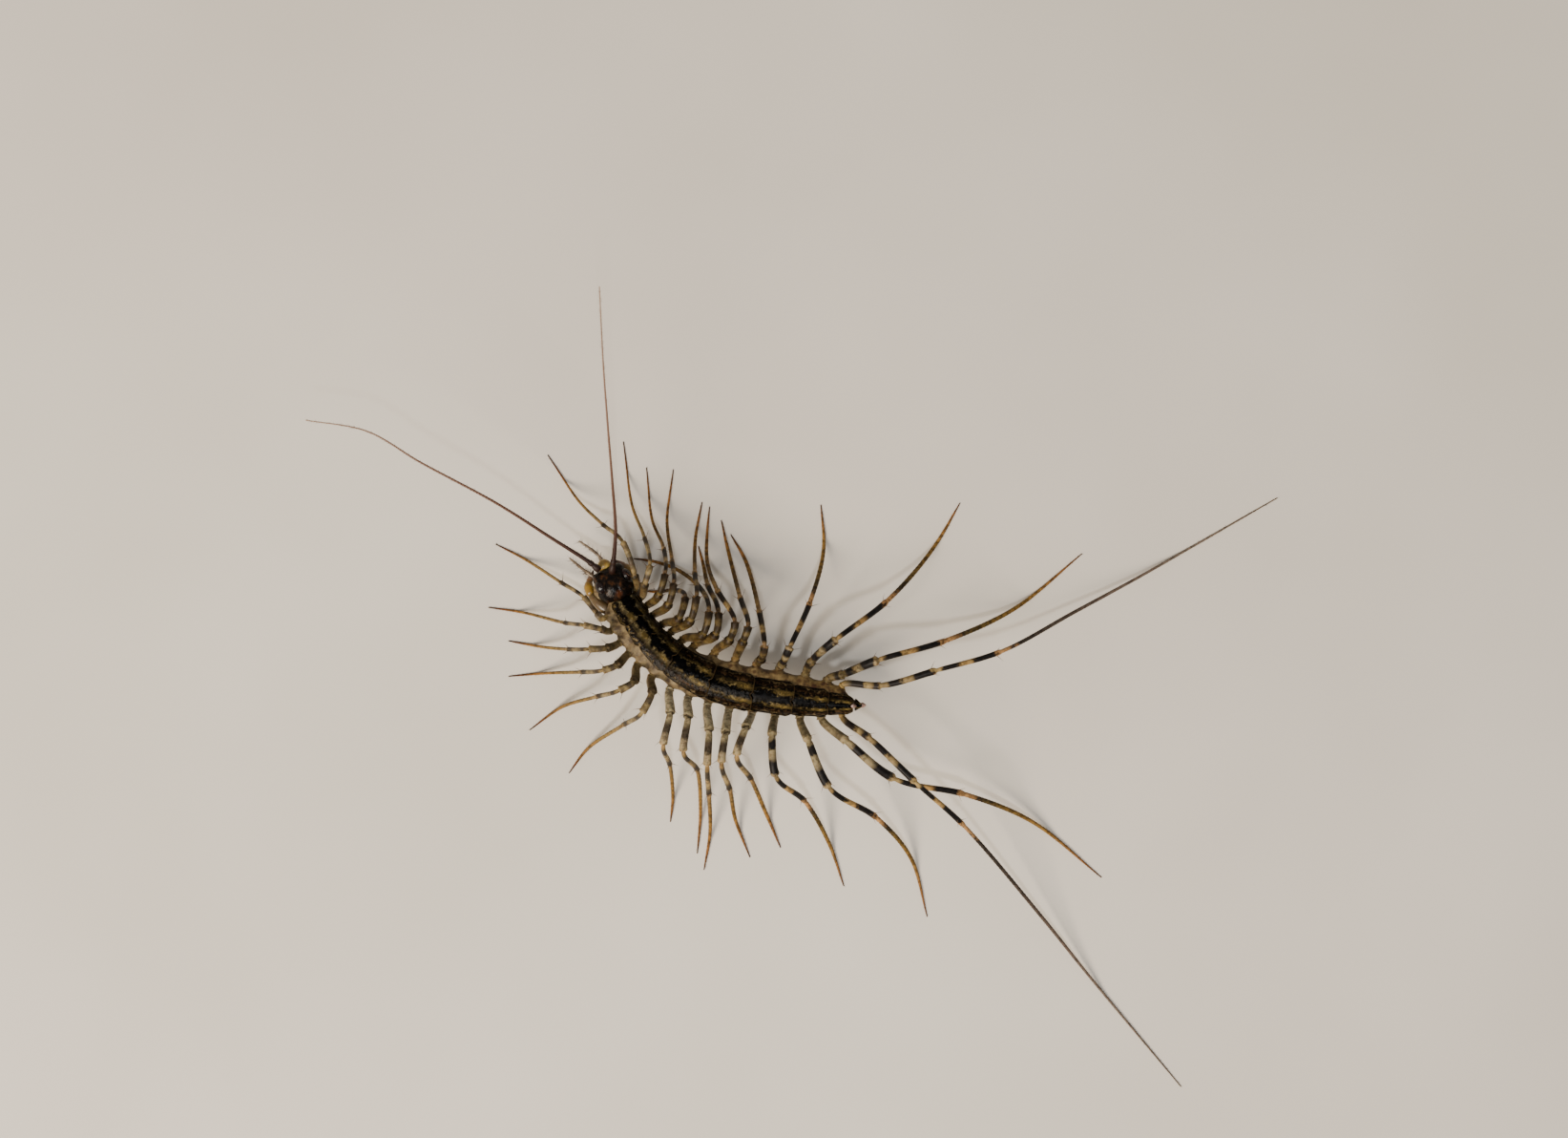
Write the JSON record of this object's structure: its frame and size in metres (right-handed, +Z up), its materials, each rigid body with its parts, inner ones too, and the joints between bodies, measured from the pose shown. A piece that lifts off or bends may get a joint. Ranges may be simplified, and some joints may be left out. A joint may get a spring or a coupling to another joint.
{
  "type": "house centipede",
  "caption": "Life-size still model of a house centipede: plated trunk, head with large eyes, long feelers and long banded legs that arch down to a flat floor.",
  "frame": {"origin": "middle of the whole pose's box seen from above, at floor level", "axes": "+Z up from the floor; +X runs across the pose from the raised feelers' side to the trailing legs' side"},
  "size_m": [0.0788, 0.0642, 0.0191],
  "materials": {
    "head": "dark brown, glossy head cuticle with a pale lip",
    "eye": "near-black compound eye, finely faceted, glossy",
    "back_plate": "waxy olive-brown back plates with black-brown middle and side bands over pale flanks",
    "flesh": "soft pale buff skin of the flanks and underside",
    "antenna": "reddish brown, finely ringed feeler",
    "mouthpart": "translucent amber mouthparts and poison claws",
    "leg": "translucent straw-coloured leg with blue-black bands and an orange-brown tarsus"
  },
  "bodies": {
    "root": {"head": "head", "eye_left": "eye", "eye_right": "eye", "trunk_1": "back_plate", "trunk_2": "back_plate", "trunk_3": "back_plate", "trunk_4": "back_plate", "trunk_5": "back_plate", "trunk_6": "back_plate", "trunk_7": "back_plate", "trunk_8": "back_plate", "telson": "flesh", "antenna_left": "antenna", "antenna_right": "antenna", "palp_left": "mouthpart", "palp_right": "mouthpart", "forcipule_left": "mouthpart", "forcipule_right": "mouthpart", "leg_left_01": "leg", "leg_left_02": "leg", "leg_left_03": "leg", "leg_left_04": "leg", "leg_left_05": "leg", "leg_left_06": "leg", "leg_left_07": "leg", "leg_left_08": "leg", "leg_left_09": "leg", "leg_left_10": "leg", "leg_left_11": "leg", "leg_left_12": "leg", "leg_left_13": "leg", "leg_left_14": "leg", "leg_left_15": "leg", "leg_right_01": "leg", "leg_right_02": "leg", "leg_right_03": "leg", "leg_right_04": "leg", "leg_right_05": "leg", "leg_right_06": "leg", "leg_right_07": "leg", "leg_right_08": "leg", "leg_right_09": "leg", "leg_right_10": "leg", "leg_right_11": "leg", "leg_right_12": "leg", "leg_right_13": "leg", "leg_right_14": "leg", "leg_right_15": "leg"}
  },
  "joints": []
}
